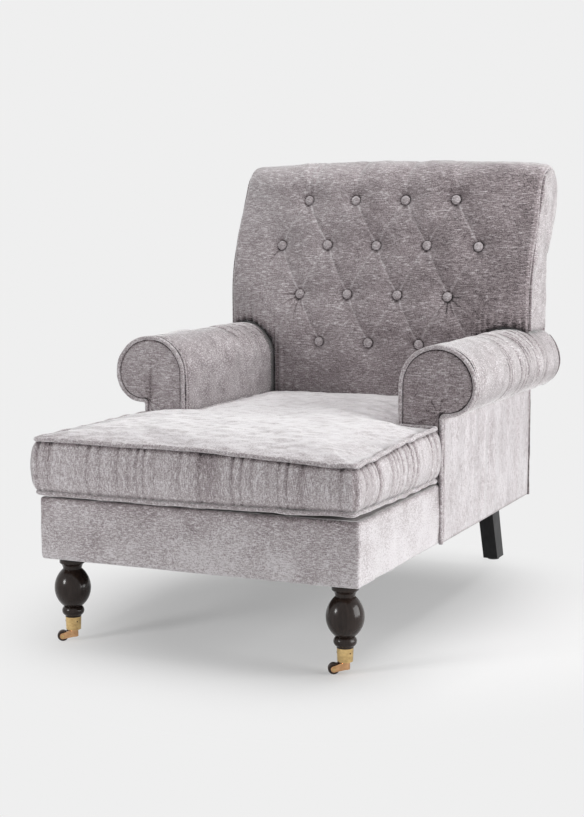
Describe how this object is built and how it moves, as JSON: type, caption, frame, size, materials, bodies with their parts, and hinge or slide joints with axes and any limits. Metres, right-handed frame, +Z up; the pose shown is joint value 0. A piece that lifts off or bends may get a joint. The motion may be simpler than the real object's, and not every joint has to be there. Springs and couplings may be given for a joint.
{
  "type": "chaise armchair",
  "caption": "Upholstered chaise armchair with rolled arms, buttoned scroll back, long T-shaped loose seat cushion, turned front legs on brass castors and raked rear legs.",
  "frame": {"origin": "on the floor under the centre of the bounding box", "axes": "+X to the right as seen from the front, +Y to the rear, +Z up; the chair faces -Y"},
  "size_m": [0.84, 1.2111, 0.977],
  "materials": {
    "cover": "brushed chenille velvet",
    "piping": "chenille velvet over cord",
    "buttons": "chenille velvet over a button form",
    "deck": "plain lining cloth",
    "felt": "cotton felt",
    "webbing": "woven elastic webbing",
    "dust_cloth": "black non-woven cloth",
    "frame_wood": "sawn beech and plywood",
    "fibreboard": "thin fibreboard",
    "turned_wood": "dark brown lacquer",
    "black_wood": "black satin lacquer",
    "brass": "polished",
    "steel": "plain",
    "screws": "dark",
    "wheels": "dark brown",
    "glides": "black"
  },
  "bodies": {
    "chair_frame": {"front_band": "cover", "outside_back": "cover", "back_cushion": "cover", "left_side_band": "cover", "right_side_band": "cover", "left_arm_pad": "cover", "right_arm_pad": "cover", "left_arm_facing": "cover", "right_arm_facing": "cover", "left_arm_outer_panel": "cover", "right_arm_outer_panel": "cover", "left_back_gusset": "cover", "right_back_gusset": "cover", "left_arm_front_welt": "piping", "right_arm_front_welt": "piping", "left_arm_rear_welt": "piping", "right_arm_rear_welt": "piping", "back_buttons": "buttons", "seat_deck_cover": "deck", "seat_deck_felt": "felt", "seat_webbing": "webbing", "back_webbing": "webbing", "dust_cloth": "dust_cloth", "front_rail": "frame_wood", "rear_rail": "frame_wood", "corner_blocks": "frame_wood", "back_top_rail": "frame_wood", "left_side_rail": "frame_wood", "right_side_rail": "frame_wood", "left_arm_front_post": "frame_wood", "right_arm_front_post": "frame_wood", "left_arm_rear_post": "frame_wood", "right_arm_rear_post": "frame_wood", "left_arm_top_rail": "frame_wood", "right_arm_top_rail": "frame_wood", "left_back_upright": "frame_wood", "right_back_upright": "frame_wood", "left_arm_board": "fibreboard", "right_arm_board": "fibreboard", "left_front_leg": "turned_wood", "right_front_leg": "turned_wood", "left_rear_leg": "black_wood", "right_rear_leg": "black_wood", "left_castor_cup": "brass", "right_castor_cup": "brass", "leg_bolts": "steel", "castor_cup_screws": "screws", "rear_leg_glides": "glides"},
    "loose_cushion": {"seat_cushion": "cover", "seat_cushion_top_welt": "piping", "seat_cushion_bottom_welt": "piping"},
    "left_castor": {"left_castor_fork": "brass", "left_castor_pin": "steel", "left_castor_axle": "brass"},
    "left_wheel": {"left_castor_wheel": "wheels"},
    "right_castor": {"right_castor_fork": "brass", "right_castor_pin": "steel", "right_castor_axle": "brass"},
    "right_wheel": {"right_castor_wheel": "wheels"}
  },
  "joints": [
    {"name": "cushion_lift", "type": "slide", "parent": "chair_frame", "child": "loose_cushion", "axis": [0, 0, 1], "range_m": [0, 0.3]},
    {"name": "left_castor_swivel", "type": "hinge", "parent": "chair_frame", "child": "left_castor", "pos_m": [-0.296, -0.5375, 0.02], "axis": [0, 0, 1], "continuous": true},
    {"name": "left_wheel_roll", "type": "hinge", "parent": "left_castor", "child": "left_wheel", "pos_m": [-0.31516, -0.54726, 0.011], "axis": [0.454, -0.891, 0], "continuous": true},
    {"name": "right_castor_swivel", "type": "hinge", "parent": "chair_frame", "child": "right_castor", "pos_m": [0.296, -0.5375, 0.02], "axis": [0, 0, 1], "continuous": true},
    {"name": "right_wheel_roll", "type": "hinge", "parent": "right_castor", "child": "right_wheel", "pos_m": [0.27684, -0.54726, 0.011], "axis": [0.454, -0.891, 0], "continuous": true}
  ]
}
